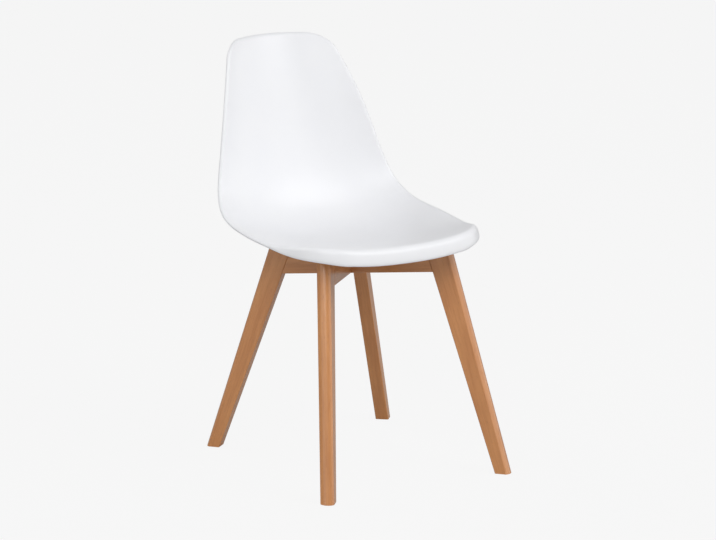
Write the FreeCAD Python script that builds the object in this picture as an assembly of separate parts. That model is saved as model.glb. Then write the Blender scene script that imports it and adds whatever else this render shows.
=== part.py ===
import FreeCAD, Part
import math
import os
from FreeCAD import Vector

# Shell chair on a crossed timber frame: a one-piece moulded seat and back, screwed down
# to two half-lapped rails that each carry a front leg and a rear leg in one plane.
# Millimetres and degrees, Z up, the sitter faces -Y. Left and right are as seen from the
# front, so left is -X. The model stands on Z = 0 about the middle of its own footprint.

# Timber frame
RAIL_BOTTOM = 378.4         # underside of the rails at their crossing, above the floor
FRAME_RAKE = 6.4            # the frame's plane rises towards the front by this angle
RAIL_ANGLE = 48.8           # each rail in plan, measured from the left-right line
FRONT_ARM = 185.0           # from the crossing to the inner corner of a front leg
REAR_ARM = 131.5            # from the crossing to the inner corner of a rear leg
TIMBER = 27.0               # thickness of rails and legs
RAIL_HEIGHT = 52.0
FRONT_SPLAY = 14.7          # inner edge of a front leg, from square to the rail
REAR_SPLAY = 24.1           # inner edge of a rear leg, from square to the rail
LEG_WIDTH = 48.0            # in-plane width of a leg where the rail's underside meets it
LEG_TAPER = 2.45            # angle between a leg's inner and outer edges
LEG_CROWN = 17.0            # radius of the crowned outer edge
ARRIS_ROUND = 2.0           # rounding of the legs' inner and the rails' lower arrises
LAP_PLAY = 0.1              # side play of the half lap

# Fixings of the frame
DOWEL_RADIUS = 5.0
DOWEL_LENGTH = 50.0
DOWEL_PITCH = 24.0          # between the two dowels of a joint
DOWEL_PLAY = 0.05           # glue gap round a dowel
DOWEL_END_PLAY = 1.0        # glue space at a dowel's end in the rail
LAP_SCREW_RADIUS = 2.5
LAP_SCREW_LENGTH = 44.0
LAP_SCREW_HEAD_RADIUS = 5.0
LAP_SCREW_HEAD_HEIGHT = 3.0
LAP_SCREW_DRIVE = 4.0       # across the flats of the drive recess
LAP_SCREW_DRIVE_DEPTH = 2.0

# Foot glides
GLIDE_RADIUS = 9.5
GLIDE_THICKNESS = 3.2
GLIDE_STANDS_PROUD = 1.2
GLIDE_PIN_RADIUS = 2.0
GLIDE_PIN_LENGTH = 12.0
GLIDE_PLAY = 0.1

# Seat bolts, washers and moulded-in threaded inserts
FRONT_BOLT_REACH = 118.0    # along the arm from the crossing
REAR_BOLT_REACH = 75.0
BOLT_RADIUS = 3.0
BOLT_PLAY = 0.3             # round a bolt in its rail
BOLT_HEAD_RADIUS = 5.0
BOLT_HEAD_HEIGHT = 6.0
BOLT_SOCKET = 5.0           # across the flats
BOLT_SOCKET_DEPTH = 3.0
BOLT_ENGAGEMENT = 8.0       # in the insert
THREAD_PLAY = 0.05
COUNTERBORE_RADIUS = 7.5
COUNTERBORE_DEPTH = 12.0
WASHER_RADIUS = 7.0
WASHER_THICKNESS = 1.6
INSERT_RADIUS = 4.5
INSERT_LENGTH = 9.0
INSERT_FLANGE_RADIUS = 5.5
INSERT_FLANGE = 1.0

# Moulded shell
WALL = 4.5
SHELL_REACH = 239.0         # front edge of the seat, in front of the crossing
SHELL_ABOVE_RAILS = 48.0    # front of the seat's surface above the rails' top at the crossing
FRONT_LIP = 32.5            # drop of the turned-down front edge
SIDE_LIP = 8.8              # drop of the rolled edge elsewhere
LIP_RUN = 170.0             # length over which one becomes the other
FRONT_ROLL = 16.0           # radius of the front roll
SIDE_ROLL = 11.0            # radius of the rolled edge
FRONT_ROLL_ANGLE = 80.0
SIDE_ROLL_ANGLE = 62.0
FRONT_CORNER = 74.0         # corner radius of the outline at the front
TOP_CORNER = 35.0           # corner radius of the outline at the top
FRONT_BOW = 14.0            # how far the front edge bows forward in the middle
TOP_BOW = 18.0              # how far the top edge arches in the middle
RIM_ROUND = 1.5             # depth of the half-round on the shell's rim
FRONT_MARGIN = 38.0         # width of the edge zone at the front corners
TOP_MARGIN = 20.0           # width of the edge zone at the top corners
SEAT_FLATNESS = 2.6         # power of the rise towards the side in the seat
BACK_FLATNESS = 2.2         # power of the rise towards the side in the back
BEND_START = 300.0          # along the middle line, where the seat begins to turn up
BEND_END = 450.0            # along the middle line, where it has become the back

# Mesh lines through which the shell's patches are drawn. Each skin has an inner field and an
# edge zone of four strips round it, which meet on the diagonals of the outline's corners.
# Shares run from the edge to the inside.
FIELD_SHARES = [0.0, 0.055, 0.12, 0.2, 0.3, 0.42, 0.58, 0.78, 1.0]
ZONE_SHARES = [0.0, 0.08, 0.17, 0.27, 0.39, 0.53, 0.7, 1.0]
FRONT_SHARES = [0.0, 0.24, 0.5, 0.79, 1.13, 1.53, 2.0, 2.63]
TOP_SHARES = [0.0, 0.4, 0.85, 1.4, 2.1, 3.0, 4.0]
LINES_BETWEEN = 13          # between those at the front and those at the top
RIM_STEPS = 8               # round the rim's half-round
MIDDLE_STEPS = 4000         # along the middle line
MESH_EASE = 2.6             # margins over which the lines spread out beside a corner
NUDGE = 0.02                # step to either side by which the surface's slope is found
SEAM = 0.005                # widest gap sewn up between two patches

# Bosses under the seat
BOSS_RADIUS = 12.0
BOSS_RIB = 2.6              # thickness of a gusset
BOSS_RIB_REACH = 13.0       # gusset beyond the boss
BOSS_RIB_CLEARANCE = 3.0    # gussets stay this far above the rails
BOSS_SKIN = 2.0             # depth to which a boss runs into the shell's wall
CEILING_START = 60.0        # the cut that ends the bosses: its first row, from the front edge
CEILING_PITCH = 30.0        # between its rows and between its columns
CEILING_ROWS = 12
CEILING_COLUMNS = 11        # an odd number, for one on the middle line

# Working allowances
PAST = 1.0                  # how far a cutter runs past a face
BLANK_SPARE = 1.3           # length of an unsawn leg against the height of the rails
SAME_PLACE = 0.01           # two points closer than this are one

# The shell's middle line from the front edge to the top: distance run and lean from level
SHELL_LENGTH = 798.0
LEAN = [
    (0, -1.5), (90, -11.5), (200, -8.0), (300, -1.0), (360, 15.0),
    (420, 42.5), (480, 64.0), (560, 73.0), (660, 71.5), (770, 68.0),
]
# Half width of the outline at a distance along the middle line
HALF_WIDTH = [
    (0, 192.5), (120, 218.0), (240, 227.5), (330, 222.0), (400, 215.5),
    (460, 206.0), (540, 187.5), (640, 162.0), (770, 120.0),
]
# How far the side edges rise from the middle line, square to it
SIDE_RISE = [
    (0, 22.5), (120, 22.5), (240, 44.5), (330, 57.0), (400, 59.0),
    (460, 54.5), (540, 54.5), (640, 55.5), (770, 41.0),
]

ARMS = {
    "front_left": (-1, -1),
    "front_right": (1, -1),
    "rear_left": (-1, 1),
    "rear_right": (1, 1),
}
RAKED = FreeCAD.Placement(Vector(0, 0, RAIL_BOTTOM), FreeCAD.Rotation(Vector(1, 0, 0), -FRAME_RAKE))


def smooth_through(pairs):
    """Natural cubic curve through (place, value) pairs, straight beyond both ends."""
    xs = [float(p[0]) for p in pairs]
    ys = [float(p[1]) for p in pairs]
    n = len(xs)
    gaps = [xs[i + 1] - xs[i] for i in range(n - 1)]
    slopes = [(ys[i + 1] - ys[i]) / gaps[i] for i in range(n - 1)]
    bend = [0.0] * n
    factor = [0.0] * n
    for i in range(1, n - 1):
        pivot = 2 * (gaps[i - 1] + gaps[i]) - gaps[i - 1] * factor[i - 1]
        factor[i] = gaps[i] / pivot
        bend[i] = (6 * (slopes[i] - slopes[i - 1]) - gaps[i - 1] * bend[i - 1]) / pivot
    for i in range(n - 2, 0, -1):
        bend[i] -= factor[i] * bend[i + 1]

    def value(x):
        if x <= xs[0]:
            return ys[0] + (x - xs[0]) * (slopes[0] - gaps[0] * bend[1] / 6)
        if x >= xs[-1]:
            return ys[-1] + (x - xs[-1]) * (slopes[-1] + gaps[-1] * bend[-2] / 6)
        i = max(k for k in range(n - 1) if xs[k] <= x)
        before = xs[i + 1] - x
        after = x - xs[i]
        cubic = (bend[i] * before ** 3 + bend[i + 1] * after ** 3) / (6 * gaps[i])
        left = (ys[i] / gaps[i] - bend[i] * gaps[i] / 6) * before
        right = (ys[i + 1] / gaps[i] - bend[i + 1] * gaps[i] / 6) * after
        return cubic + left + right

    return value


lean_at = smooth_through(LEAN)
width_at = smooth_through(HALF_WIDTH)
rise_at = smooth_through(SIDE_RISE)


def smooth_step(t):
    """Rise from 0 to 1 that starts and ends level."""
    return t * t * (3 - 2 * t)


def middle_line():
    """Points of the middle line, one per step of its run, by following its lean."""
    step = SHELL_LENGTH / MIDDLE_STEPS
    rail_top = RAKED.multVec(Vector(0, 0, RAIL_HEIGHT))
    place = Vector(0, -SHELL_REACH, rail_top.z + SHELL_ABOVE_RAILS)
    points = [place]
    for i in range(MIDDLE_STEPS):
        lean = math.radians(lean_at((i + 0.5) * step))
        place = place + Vector(0, math.cos(lean), math.sin(lean)) * step
        points.append(place)
    return points, step


MIDDLE, MIDDLE_STEP = middle_line()


def on_middle(run):
    """Place and lean of the middle line at a distance from the front edge."""
    i = min(max(int(run / MIDDLE_STEP), 0), len(MIDDLE) - 2)
    part = run / MIDDLE_STEP - i
    place = MIDDLE[i] + (MIDDLE[i + 1] - MIDDLE[i]) * part
    return place, math.radians(lean_at(run))


def lip_at(from_front):
    """Drop of the edge: the deep front lip dies away into the shallow side roll."""
    t = min(max(from_front / LIP_RUN, 0.0), 1.0)
    return FRONT_LIP + (SIDE_LIP - FRONT_LIP) * smooth_step(t)


def edge_drop(inward, lip):
    """Drop of the surface at a distance inward from the outline: a roll, then a flank."""
    share = min(max((lip - SIDE_LIP) / (FRONT_LIP - SIDE_LIP), 0.0), 1.0)
    radius = SIDE_ROLL + (FRONT_ROLL - SIDE_ROLL) * share
    angle = math.radians(SIDE_ROLL_ANGLE + (FRONT_ROLL_ANGLE - SIDE_ROLL_ANGLE) * share)
    flank = max(lip - radius * (1 - math.cos(angle)), 0.0) / math.tan(angle)
    reach = radius * math.sin(angle)
    into_roll = min(max(flank + reach - inward, 0.0), reach)
    roll = radius - math.sqrt(radius ** 2 - into_roll ** 2)
    return roll + max(flank - inward, 0.0) * math.tan(angle)


def shell_surface(x, run, inward, lip):
    """Point of the seat's upper surface."""
    place, lean = on_middle(run)
    blend = min(max((run - BEND_START) / (BEND_END - BEND_START), 0.0), 1.0)
    power = SEAT_FLATNESS + (BACK_FLATNESS - SEAT_FLATNESS) * blend
    height = rise_at(run) * (abs(x) / width_at(run)) ** power - edge_drop(inward, lip)
    return place + Vector(x, -math.sin(lean) * height, math.cos(lean) * height)


def outline_station(inner, corner, margin):
    """Outline place that a mesh line leads to, as distances along the edge and off it."""
    arc = corner * math.pi / 4
    lag = margin - corner + arc
    ease = max(1 - inner / (margin * MESH_EASE), 0.0) ** 3
    travel = inner + lag * (1 - ease)
    if travel >= arc:
        return corner + travel - arc, 0.0
    turn = math.pi / 4 - travel / corner
    return corner * (1 - math.sin(turn)), corner * (1 - math.cos(turn))


def shell_point(from_middle, end, at_top, depth):
    """Point of the shell at a depth under the seat, from distances to the middle and the nearer end."""
    corner = TOP_CORNER if at_top else FRONT_CORNER
    bow = TOP_BOW if at_top else FRONT_BOW
    nominal = width_at(SHELL_LENGTH - end if at_top else end)
    share = from_middle / nominal
    run = end + bow * share ** 2
    run = SHELL_LENGTH - run if at_top else run
    x = width_at(run) * share

    def place(dx, drun):
        to_side = nominal - from_middle - dx
        to_end = end + (-drun if at_top else drun)
        gap_side = max(corner - to_side, 0.0)
        gap_end = max(corner - to_end, 0.0)
        inward = corner - math.hypot(gap_side, gap_end)
        lip = SIDE_LIP if at_top else lip_at(to_end)
        return shell_surface(x + dx, run + drun, inward, lip)

    here = place(0, 0)
    if depth == 0:
        return here
    across = place(NUDGE, 0) - place(-NUDGE, 0)
    along = place(0, NUDGE) - place(0, -NUDGE)
    normal = across.cross(along)
    normal.normalize()
    return here - normal * depth


def field_rows():
    """Distances of the field's rows along the middle line."""
    front = [FRONT_MARGIN * (1 + s) for s in FRONT_SHARES]
    top = [SHELL_LENGTH - TOP_MARGIN * (1 + s) for s in reversed(TOP_SHARES)]
    pitch = (top[0] - front[-1]) / (LINES_BETWEEN + 1)
    return front + [front[-1] + pitch * (i + 1) for i in range(LINES_BETWEEN)] + top


def side_margin(row):
    """Width of the edge zone at a side: it narrows from the front to the top."""
    t = (row - FRONT_MARGIN) / (SHELL_LENGTH - TOP_MARGIN - FRONT_MARGIN)
    return FRONT_MARGIN + (TOP_MARGIN - FRONT_MARGIN) * smooth_step(t)


def side_lines():
    """Mesh lines across the right side's edge zone: outline place, inner place, whether at the top."""
    lines = []
    for row in field_rows():
        at_top = row > SHELL_LENGTH / 2
        end = SHELL_LENGTH - row if at_top else row
        corner = TOP_CORNER if at_top else FRONT_CORNER
        margin = TOP_MARGIN if at_top else FRONT_MARGIN
        along, off = outline_station(end - margin, corner, margin)
        outer = width_at(SHELL_LENGTH - along if at_top else along) - off
        lines.append(((outer, along), (width_at(row) - side_margin(row), end), at_top))
    return lines


def end_lines(at_top):
    """Mesh lines across the right half of the front's or the top's edge zone."""
    corner = TOP_CORNER if at_top else FRONT_CORNER
    margin = TOP_MARGIN if at_top else FRONT_MARGIN
    nominal = width_at(SHELL_LENGTH - margin if at_top else margin)
    at_edge = width_at(SHELL_LENGTH if at_top else 0)
    lines = []
    for share in FIELD_SHARES:
        inner = (nominal - margin) * share
        along, off = outline_station(inner, corner, margin)
        wide = width_at(SHELL_LENGTH - off if at_top else off)
        outer = wide - along + (nominal - at_edge) * smooth_step(share)
        lines.append(((outer, off), (nominal - margin - inner, margin), at_top))
    return lines


def zone_points(line, depth):
    """Points of one mesh line across the edge zone, from the rim inward."""
    outer, inner, at_top = line
    width = math.hypot(inner[0] - outer[0], inner[1] - outer[1])
    points = []
    for share in ZONE_SHARES:
        t = (RIM_ROUND + (width - RIM_ROUND) * share) / width
        from_middle = outer[0] + (inner[0] - outer[0]) * t
        points.append(shell_point(from_middle, outer[1] + (inner[1] - outer[1]) * t, at_top, depth))
    return points


def rim_points(line):
    """Points of one mesh line round the shell's rounded rim, from the upper to the under skin."""
    outer, inner, at_top = line
    width = math.hypot(inner[0] - outer[0], inner[1] - outer[1])
    points = []
    for step in range(RIM_STEPS + 1):
        turn = math.pi * step / RIM_STEPS
        t = RIM_ROUND * (1 - math.sin(turn)) / width
        from_middle = outer[0] + (inner[0] - outer[0]) * t
        depth = WALL / 2 * (1 - math.cos(turn))
        points.append(shell_point(from_middle, outer[1] + (inner[1] - outer[1]) * t, at_top, depth))
    return points


def both_halves(points):
    """A row of the right half, whose last point is in the middle, with its mirror image."""
    middle = Vector(0, points[-1].y, points[-1].z)
    return mirrored(points[:-1]) + [middle] + points[-2::-1]


def mirrored(points):
    """Points on the other side of the chair."""
    return [Vector(-p.x, p.y, p.z) for p in points]


def smooth_patch(rows, along, across):
    """Surface through rows of points, with a parameter for each row and for each place in it."""
    net = []
    for row in rows:
        curve = Part.BSplineCurve()
        curve.interpolate(Points=row, Parameters=across)
        net.append(curve.getPoles())
    poles = []
    for column in zip(*net):
        line = Part.BSplineCurve()
        line.interpolate(Points=list(column), Parameters=along)
        poles.append(line.getPoles())
    surface = Part.BSplineSurface()
    surface.buildFromPolesMultsKnots(
        poles, curve.getMultiplicities(), line.getMultiplicities(),
        curve.getKnots(), line.getKnots(), False, False, curve.Degree, line.Degree)
    return surface.toShape()


def shell_plate():
    """The bare shell: two skins of an inner field and four edge strips, and the rounded rim."""
    rows = field_rows()
    half_field = width_at(SHELL_LENGTH / 2) - FRONT_MARGIN
    columns = [half_field * s for s in FIELD_SHARES]
    columns += [half_field * (2 - s) for s in reversed(FIELD_SHARES[:-1])]
    inward = [FRONT_MARGIN * s for s in ZONE_SHARES]
    round_rim = [math.pi * WALL / 2 * step / RIM_STEPS for step in range(RIM_STEPS + 1)]
    side = side_lines()
    faces = []
    for depth in (0, WALL):
        field = []
        for (_, inner, at_top) in side:
            spots = [inner[0] * (1 - share) for share in FIELD_SHARES]
            half = [shell_point(spot, inner[1], at_top, depth) for spot in spots]
            field.append(both_halves(half))
        faces.append(smooth_patch(field, rows, columns))
        zone = [zone_points(line, depth) for line in side]
        faces.append(smooth_patch(zone, rows, inward))
        faces.append(smooth_patch([mirrored(points) for points in zone], rows, inward))
        for at_top in (False, True):
            zone = [zone_points(line, depth) for line in end_lines(at_top)]
            strip = [both_halves([points[k] for points in zone]) for k in range(len(ZONE_SHARES))]
            faces.append(smooth_patch(strip, inward, columns))
    rim = [rim_points(line) for line in side]
    faces.append(smooth_patch(rim, rows, round_rim))
    faces.append(smooth_patch([mirrored(points) for points in rim], rows, round_rim))
    for at_top in (False, True):
        rim = [rim_points(line) for line in end_lines(at_top)]
        strip = [both_halves([points[k] for points in rim]) for k in range(RIM_STEPS + 1)]
        faces.append(smooth_patch(strip, round_rim, columns))
    skin = Part.Shell(faces)
    skin.sewShape(SEAM)
    return Part.Solid(skin)


def to_world(local, arm):
    """Shape from an arm's own frame (X outward along the rail, Z up) to the chair's."""
    across, back = ARMS[arm]
    angle = math.radians(RAIL_ANGLE)
    bearing = math.degrees(math.atan2(back * math.sin(angle), across * math.cos(angle)))
    turn = FreeCAD.Placement(Vector(0, 0, 0), FreeCAD.Rotation(Vector(0, 0, 1), bearing))
    shape = local.copy()
    shape.Placement = RAKED.multiply(turn).multiply(local.Placement)
    return shape


def arm_sizes(arm):
    """Arm length, splay of its leg and reach of its seat bolt."""
    if ARMS[arm][1] < 0:
        return FRONT_ARM, FRONT_SPLAY, FRONT_BOLT_REACH
    return REAR_ARM, REAR_SPLAY, REAR_BOLT_REACH


def inner_edge(arm, height):
    """Distance of a leg's inner edge from the crossing at a height above the rail's underside."""
    length, splay, _ = arm_sizes(arm)
    return length - math.tan(math.radians(splay)) * height


def plate(outline, thickness):
    """Upright plate about Y = 0 from an outline of (x, z) corners."""
    corners = [Vector(x, -thickness / 2, z) for x, z in outline]
    face = Part.Face(Part.makePolygon(corners + corners[:1]))
    return face.extrude(Vector(0, thickness, 0))


def rod(radius, length, x=0.0, y=0.0, z=0.0, direction=Vector(0, 0, 1)):
    """Round bar from a point along a direction."""
    return Part.makeCylinder(radius, length, Vector(x, y, z), direction)


def hexagon_socket(across_flats, depth, z):
    """Six-sided recess cutter that opens downward at a height z."""
    radius = across_flats / 2 / math.cos(math.pi / 6)
    turns = [k * math.pi / 3 for k in range(7)]
    corners = [Vector(radius * math.cos(turn), radius * math.sin(turn), z) for turn in turns]
    return Part.Face(Part.makePolygon(corners)).extrude(Vector(0, 0, depth))


def dowel_heights():
    """Heights of a joint's two dowels above the rail's underside."""
    return [RAIL_HEIGHT / 2 - DOWEL_PITCH / 2, RAIL_HEIGHT / 2 + DOWEL_PITCH / 2]


def leg(arm):
    """One leg: flat sides, a crowned outer edge, dowel holes at the top, a glide pocket below."""
    length, splay, _ = arm_sizes(arm)
    outer_angle = splay - LEG_TAPER
    half = TIMBER / 2
    below = RAIL_BOTTOM * BLANK_SPARE
    longer = below * BLANK_SPARE
    outline = [
        (inner_edge(arm, RAIL_HEIGHT), RAIL_HEIGHT),
        (inner_edge(arm, 0), 0),
        (inner_edge(arm, -below), -below),
        (length + LEG_WIDTH + below, -below),
        (length + LEG_WIDTH + below, RAIL_HEIGHT),
    ]
    arris = math.sqrt(LEG_CROWN ** 2 - half ** 2) - LEG_CROWN
    inward = -below - LEG_WIDTH
    crown = Part.Arc(Vector(arris, -half, 0), Vector(0, 0, 0), Vector(arris, half, 0)).toShape()
    back = Part.makePolygon([Vector(arris, half, 0), Vector(inward, half, 0),
                             Vector(inward, -half, 0), Vector(arris, -half, 0)])
    section = Part.Face(Part.Wire([crown] + back.Edges))
    bar = section.extrude(Vector(0, 0, longer + RAIL_HEIGHT * 2))
    bar.translate(Vector(0, 0, -longer))
    bar.rotate(Vector(0, 0, 0), Vector(0, 1, 0), -outer_angle)
    bar.translate(Vector(length + LEG_WIDTH, 0, 0))
    blank = plate(outline, TIMBER).common(bar)
    blank = blank.Solids[0]
    blank = blank.makeFillet(ARRIS_ROUND, lower_inner_arrises(blank, arm))
    for height in dowel_heights():
        start = inner_edge(arm, height) - DOWEL_LENGTH / 2
        hole = rod(DOWEL_RADIUS + DOWEL_PLAY, DOWEL_LENGTH, start, 0, height, Vector(1, 0, 0))
        blank = blank.cut(hole)
    standing = to_world(blank, arm)
    box = standing.BoundBox
    corner = Vector(box.XMin - PAST, box.YMin - PAST, box.ZMin - PAST)
    deep = GLIDE_STANDS_PROUD - corner.z
    ground = Part.makeBox(box.XLength + 2 * PAST, box.YLength + 2 * PAST, deep, corner)
    standing = standing.cut(ground)
    foot = foot_centre(standing)
    standing = standing.cut(rod(GLIDE_RADIUS + GLIDE_PLAY, GLIDE_THICKNESS, foot.x, foot.y, 0))
    standing = standing.cut(rod(GLIDE_PIN_RADIUS, GLIDE_THICKNESS + GLIDE_PIN_LENGTH, foot.x, foot.y, 0))
    return standing.Solids[0], foot


def lower_inner_arrises(blank, arm):
    """The two long edges of a leg that face the other legs, below the rail."""
    chosen = []
    for edge in blank.Edges:
        ends = [v.Point for v in edge.Vertexes]
        on_line = all(abs(p.x - inner_edge(arm, p.z)) < SAME_PLACE for p in ends)
        if on_line and max(p.z for p in ends) < PAST and abs(ends[0].z - ends[-1].z) > TIMBER:
            chosen.append(edge)
    return chosen


def foot_centre(standing):
    """Middle of a leg's sawn foot."""
    faces = [f for f in standing.Faces if f.BoundBox.ZLength < SAME_PLACE]
    return min(faces, key=lambda f: f.CenterOfMass.z).CenterOfMass


def rail(front, rear, keeps_lower_half):
    """A rail through the crossing: half lap, dowel holes, bolt holes and rounded lower arrises."""
    outline = [
        (inner_edge(front, 0), 0),
        (inner_edge(front, RAIL_HEIGHT), RAIL_HEIGHT),
        (-inner_edge(rear, RAIL_HEIGHT), RAIL_HEIGHT),
        (-inner_edge(rear, 0), 0),
    ]
    blank = plate(outline, TIMBER)
    lower = [e for e in blank.Edges if e.BoundBox.ZMax < SAME_PLACE and e.BoundBox.XLength > TIMBER]
    blank = blank.makeFillet(ARRIS_ROUND, lower)
    bore = BOLT_RADIUS + BOLT_PLAY
    for arm, sense in ((front, 1), (rear, -1)):
        reach = arm_sizes(arm)[2]
        blank = blank.cut(rod(bore, RAIL_HEIGHT, sense * reach))
        blank = blank.cut(rod(COUNTERBORE_RADIUS, COUNTERBORE_DEPTH, sense * reach))
        for height in dowel_heights():
            depth = DOWEL_LENGTH / 2 + DOWEL_END_PLAY
            start = sense * inner_edge(arm, height)
            hole = rod(DOWEL_RADIUS + DOWEL_PLAY, depth * 2, start - depth, 0, height, Vector(1, 0, 0))
            blank = blank.cut(hole)
    lap_width = TIMBER + 2 * LAP_PLAY
    level = RAIL_HEIGHT / 2 if keeps_lower_half else -PAST
    corner = Vector(-2 * TIMBER, -lap_width / 2, level)
    notch = Part.makeBox(4 * TIMBER, lap_width, RAIL_HEIGHT / 2 + PAST, corner)
    sense = -1 if front == "front_right" else 1
    notch.rotate(Vector(0, 0, 0), Vector(0, 0, 1), sense * (180 - 2 * RAIL_ANGLE))
    blank = blank.cut(notch)
    blank = blank.cut(lap_screw_body())
    return to_world(blank.Solids[0], front)


def lap_screw_body():
    """Outline of the countersunk screw at the crossing, driven from below."""
    head = Part.makeCone(LAP_SCREW_HEAD_RADIUS, LAP_SCREW_RADIUS, LAP_SCREW_HEAD_HEIGHT)
    return head.fuse(rod(LAP_SCREW_RADIUS, LAP_SCREW_LENGTH)).removeSplitter()


def lap_screw():
    """The screw itself, with its drive recess."""
    screw = lap_screw_body().cut(hexagon_socket(LAP_SCREW_DRIVE, LAP_SCREW_DRIVE_DEPTH, 0))
    return to_world(screw, "front_right")


def dowels():
    """Two dowels in each of the four joints between a rail and a leg."""
    pieces = []
    for arm in ARMS:
        for height in dowel_heights():
            start = inner_edge(arm, height) - DOWEL_LENGTH / 2
            peg = rod(DOWEL_RADIUS, DOWEL_LENGTH, start, 0, height, Vector(1, 0, 0))
            pieces.append(to_world(peg, arm))
    return Part.makeCompound(pieces)


def seat_bolt(arm):
    """Socket-headed bolt up through the rail into the seat's insert."""
    reach = arm_sizes(arm)[2]
    seat = COUNTERBORE_DEPTH - WASHER_THICKNESS
    shank = WASHER_THICKNESS + RAIL_HEIGHT - COUNTERBORE_DEPTH + BOLT_ENGAGEMENT
    head = rod(BOLT_HEAD_RADIUS, BOLT_HEAD_HEIGHT, 0, 0, seat - BOLT_HEAD_HEIGHT)
    bolt = head.fuse(rod(BOLT_RADIUS, shank, 0, 0, seat)).removeSplitter()
    bolt = bolt.cut(hexagon_socket(BOLT_SOCKET, BOLT_SOCKET_DEPTH, seat - BOLT_HEAD_HEIGHT))
    bolt.translate(Vector(reach, 0, 0))
    return to_world(bolt, arm)


def washer(arm):
    """Washer under a bolt's head, at the bottom of the rail's counterbore."""
    reach = arm_sizes(arm)[2]
    level = COUNTERBORE_DEPTH - WASHER_THICKNESS
    ring = rod(WASHER_RADIUS, WASHER_THICKNESS, reach, 0, level)
    ring = ring.cut(rod(BOLT_RADIUS + BOLT_PLAY, WASHER_THICKNESS, reach, 0, level))
    return to_world(ring, arm)


def insert_body(arm):
    """Outline of a threaded insert: a barrel with a thin flange at its mouth."""
    reach = arm_sizes(arm)[2]
    flange = rod(INSERT_FLANGE_RADIUS, INSERT_FLANGE, reach, 0, RAIL_HEIGHT)
    barrel = rod(INSERT_RADIUS, INSERT_LENGTH, reach, 0, RAIL_HEIGHT)
    return flange.fuse(barrel).removeSplitter()


def insert(arm):
    """Threaded insert moulded into a boss."""
    reach = arm_sizes(arm)[2]
    bore = rod(BOLT_RADIUS + THREAD_PLAY, INSERT_LENGTH, reach, 0, RAIL_HEIGHT)
    return to_world(insert_body(arm).cut(bore), arm)


def boss(arm):
    """Boss with four gussets, standing on the rail and reaching up into the seat's wall."""
    reach = arm_sizes(arm)[2]
    tall = SHELL_ABOVE_RAILS
    post = rod(BOSS_RADIUS, tall, reach, 0, RAIL_HEIGHT)
    foot = RAIL_HEIGHT + BOSS_RIB_CLEARANCE
    tip = BOSS_RADIUS + BOSS_RIB_REACH
    top = foot + tall
    outline = [(0, foot), (BOSS_RADIUS, foot), (tip, foot + BOSS_RIB_REACH / 2), (tip, top), (0, top)]
    for k in range(4):
        gusset = plate(outline, BOSS_RIB)
        gusset.rotate(Vector(0, 0, 0), Vector(0, 0, 1), 45 + 90 * k)
        gusset.translate(Vector(reach, 0, 0))
        post = post.fuse(gusset)
    return to_world(post, arm)


def under_seat_space():
    """Room below the seat's wall, up to the depth at which the bosses are rooted in it."""
    runs = [CEILING_START + CEILING_PITCH * i for i in range(CEILING_ROWS)]
    halves = [CEILING_PITCH * (i - CEILING_COLUMNS // 2) for i in range(CEILING_COLUMNS)]
    rows = [[shell_point(x, run, False, WALL - BOSS_SKIN) for x in halves] for run in runs]
    ceiling = Part.BSplineSurface()
    ceiling.interpolate(rows)
    return ceiling.toShape().extrude(Vector(0, 0, -SHELL_ABOVE_RAILS * 2))


def seat_shell():
    """The moulded seat and back with its four bosses, bored for the inserts."""
    body = shell_plate()
    space = under_seat_space()
    for arm in ARMS:
        body = body.fuse(boss(arm).common(space))
    for arm in ARMS:
        body = body.cut(to_world(insert_body(arm), arm))
    return body.Solids[0]


def glide(foot):
    """Plastic foot glide: a disc let into the foot, held by a pin."""
    disc = rod(GLIDE_RADIUS, GLIDE_THICKNESS)
    rim = [e for e in disc.Edges if e.BoundBox.ZMax < SAME_PLACE]
    disc = disc.makeChamfer(GLIDE_STANDS_PROUD / 2, rim)
    pin = rod(GLIDE_PIN_RADIUS, GLIDE_PIN_LENGTH, 0, 0, GLIDE_THICKNESS)
    piece = disc.fuse(pin).removeSplitter()
    piece.translate(Vector(foot.x, foot.y, 0))
    return piece


def chair():
    """Every piece of the chair by name, in the frame's coordinates."""
    pieces = {"seat_shell": seat_shell()}
    pieces["cross_rail_a"] = rail("front_right", "rear_left", True)
    pieces["cross_rail_b"] = rail("front_left", "rear_right", False)
    glides = []
    for arm in ARMS:
        pieces["leg_" + arm], foot = leg(arm)
        glides.append(glide(foot))
    pieces["leg_dowels"] = dowels()
    pieces["lap_screw"] = lap_screw()
    pieces["seat_bolts"] = Part.makeCompound([seat_bolt(arm) for arm in ARMS])
    pieces["bolt_washers"] = Part.makeCompound([washer(arm) for arm in ARMS])
    pieces["threaded_inserts"] = Part.makeCompound([insert(arm) for arm in ARMS])
    pieces["foot_glides"] = Part.makeCompound(glides)
    return pieces


def export(pieces):
    """Write each piece, moved so that the chair stands about the middle of its footprint."""
    boxes = [shape.optimalBoundingBox() for shape in pieces.values()]
    middle = (min(b.YMin for b in boxes) + max(b.YMax for b in boxes)) / 2
    os.makedirs("parts", exist_ok=True)
    for name, shape in pieces.items():
        shape.translate(Vector(0, -middle, 0))
        shape.exportStep("parts/" + name + ".step")
        print(name, "solids", len(shape.Solids), "valid", shape.isValid(), "volume", round(shape.Volume))
    print("moved back by", round(-middle, 3))


export(chair())
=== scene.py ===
import logging
import math
from dataclasses import dataclass, field
from enum import Enum

import bpy
import numpy as np
from bpy.types import ID, Material, Node, NodeSocket as Socket, NodeTree, Object
from mathutils import Matrix, Vector


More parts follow.
